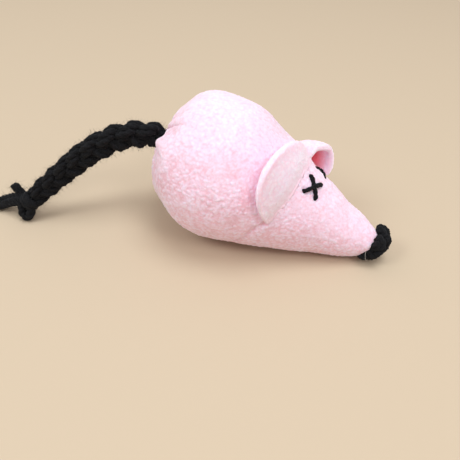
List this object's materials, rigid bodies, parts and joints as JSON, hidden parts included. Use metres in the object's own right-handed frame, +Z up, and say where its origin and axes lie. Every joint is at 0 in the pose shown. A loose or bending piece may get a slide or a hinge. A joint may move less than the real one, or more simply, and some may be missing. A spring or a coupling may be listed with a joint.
{
  "type": "valerian mouse cat toy",
  "caption": "Small stuffed fleece mouse for cats to catch and chew, with soft ear flaps, stitched eyes, a knotted yarn nose, a braided yarn tail and a herb pouch in its filling.",
  "frame": {"origin": "on the floor, under the middle of the mouse without its tail", "axes": "+X to the nose, +Y to the mouse's left, +Z up"},
  "size_m": [0.1483, 0.0515, 0.0521],
  "materials": {
    "fleece_cover": "matte fleece",
    "fibre_filling": "matte fibre",
    "valerian_pouch": "matte muslin",
    "valerian_root": "dry, matte",
    "pouch_tie": "matte twine",
    "ear_right": "matte fleece",
    "ear_left": "matte fleece",
    "ear_right_seam_thread": "matte twine",
    "ear_left_seam_thread": "matte twine",
    "belly_seam_thread": "matte twine",
    "eye_right_cross": "matte yarn",
    "eye_left_cross": "matte yarn",
    "nose_knot": "matte yarn",
    "gather_thread": "matte twine",
    "tail_anchor": "matte yarn",
    "tail_braid": "matte yarn",
    "tail_knot": "matte yarn",
    "tail_loose_end_upper": "matte yarn",
    "tail_loose_end_rear": "matte yarn"
  },
  "bodies": {
    "mouse": {"fleece_cover": "fleece_cover", "fibre_filling": "fibre_filling", "valerian_pouch": "valerian_pouch", "valerian_root": "valerian_root", "pouch_tie": "pouch_tie", "ear_right_seam_thread": "ear_right_seam_thread", "ear_left_seam_thread": "ear_left_seam_thread", "belly_seam_thread": "belly_seam_thread", "eye_right_cross": "eye_right_cross", "eye_left_cross": "eye_left_cross", "nose_knot": "nose_knot", "tail_anchor": "tail_anchor"},
    "ear_right_flap": {"ear_right": "ear_right"},
    "ear_left_flap": {"ear_left": "ear_left"},
    "tail_collar": {"gather_thread": "gather_thread"},
    "tail": {"tail_braid": "tail_braid", "tail_knot": "tail_knot", "tail_loose_end_upper": "tail_loose_end_upper", "tail_loose_end_rear": "tail_loose_end_rear"}
  },
  "joints": [
    {"name": "ear_right_fold", "type": "hinge", "parent": "mouse", "child": "ear_right_flap", "pos_m": [0.00789, -0.01397, 0.03172], "axis": [0.3067, 0.786, 0.5367], "range_deg": [-8, 50], "stiffness_Nm_per_rad": 0.001},
    {"name": "ear_left_fold", "type": "hinge", "parent": "mouse", "child": "ear_left_flap", "pos_m": [0.00577, 0.0138, 0.03408], "axis": [-0.2178, 0.729, -0.6489], "range_deg": [-50, 3], "stiffness_Nm_per_rad": 0.001},
    {"name": "tail_swing", "type": "hinge", "parent": "mouse", "child": "tail_collar", "pos_m": [-0.042, 0, 0.03363], "axis": [0, 0, 1], "range_deg": [-70, 25]},
    {"name": "tail_lift", "type": "hinge", "parent": "tail_collar", "child": "tail", "pos_m": [-0.042, 0, 0.03363], "axis": [-0.444, 0.896, 0], "range_deg": [0, 30]}
  ]
}
